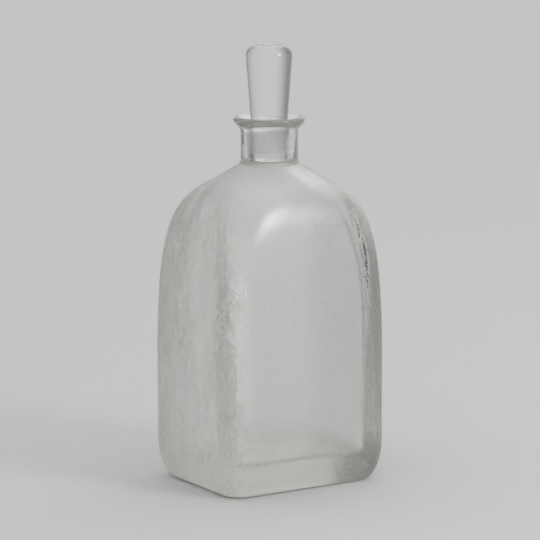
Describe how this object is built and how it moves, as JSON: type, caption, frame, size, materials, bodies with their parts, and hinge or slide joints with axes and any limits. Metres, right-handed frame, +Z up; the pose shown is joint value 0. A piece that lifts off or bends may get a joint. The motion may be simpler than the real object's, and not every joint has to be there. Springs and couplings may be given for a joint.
{
  "type": "carafe",
  "caption": "Heavy four-sided carafe of etched glass with a domed shoulder, a clear round neck with a turned-out lip, and a tapered solid glass stopper that lifts out.",
  "frame": {"origin": "middle of the flat base, on the surface that the carafe stands on", "axes": "+Z up through the middle of the neck, X along the wide faces, Y along the narrow sides"},
  "size_m": [0.1136, 0.0924, 0.2586],
  "materials": {
    "etched_glass": "acid-etched matt outside, fire-polished inside, clear at the neck and lip",
    "clear_glass": "clear and polished, ground matt where it seats in the neck"
  },
  "bodies": {
    "carafe": {"carafe_body": "etched_glass"},
    "stopper": {"stopper": "clear_glass"}
  },
  "joints": [
    {"name": "stopper_lift", "type": "slide", "parent": "carafe", "child": "stopper", "axis": [0, 0, 1], "range_m": [0, 0.045]}
  ]
}
